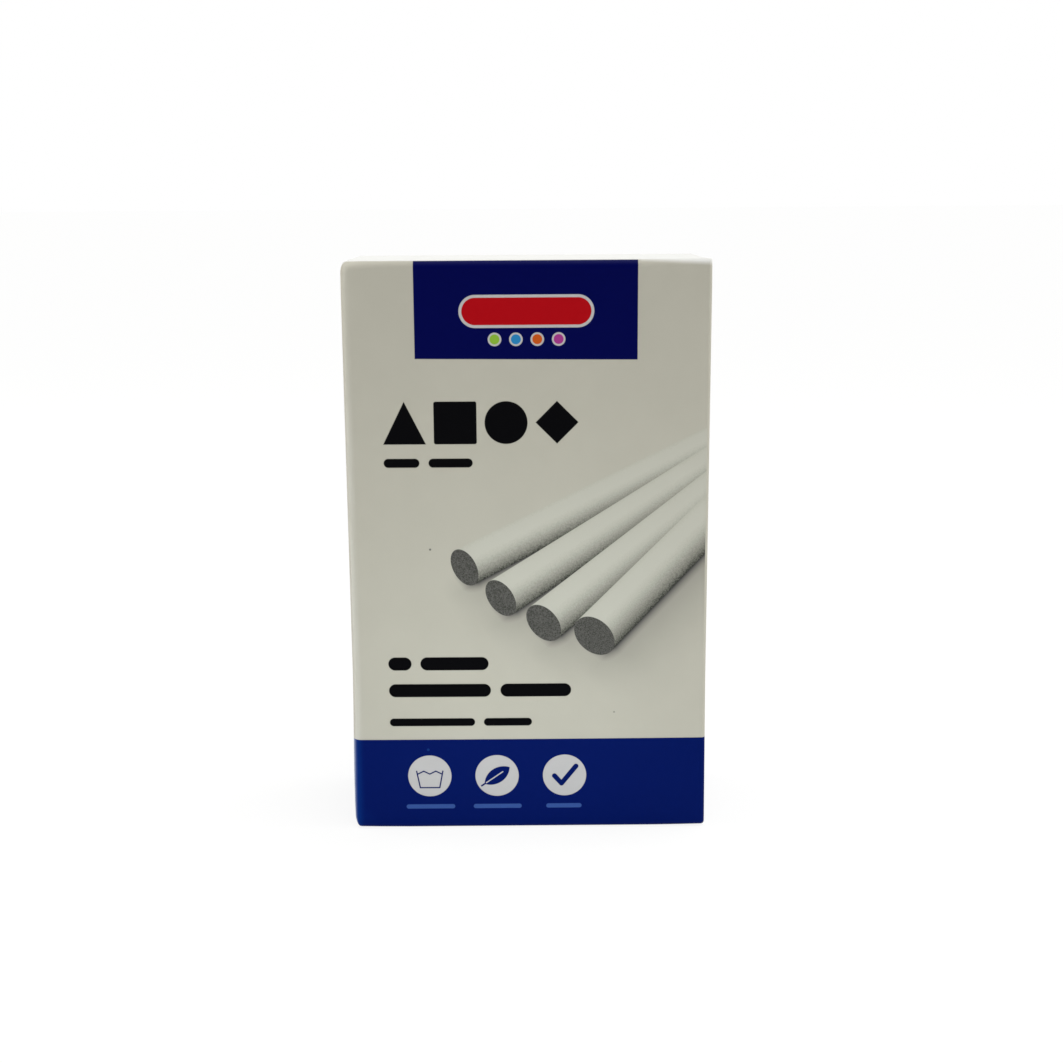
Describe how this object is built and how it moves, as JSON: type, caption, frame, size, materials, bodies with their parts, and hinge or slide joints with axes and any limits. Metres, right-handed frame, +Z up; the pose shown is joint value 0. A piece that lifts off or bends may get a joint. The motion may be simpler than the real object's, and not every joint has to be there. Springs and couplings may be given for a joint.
{
  "type": "chalk carton",
  "caption": "Small upright folding card carton of chalk sticks, glued shut at both ends, with a printed front, rounded folds and a lapped side seam.",
  "frame": {"origin": "centre of the footprint, on the surface that the carton stands on", "axes": "+Z up along the carton's height, the printed front faces -Y, +X to the right as the front is seen"},
  "size_m": [0.052, 0.022, 0.084],
  "materials": {
    "printed_board": "white-lined carton board, offset printed in dark blue and black on pale grey, with a satin varnish"
  },
  "bodies": {
    "root": {"carton": "printed_board"}
  },
  "joints": []
}
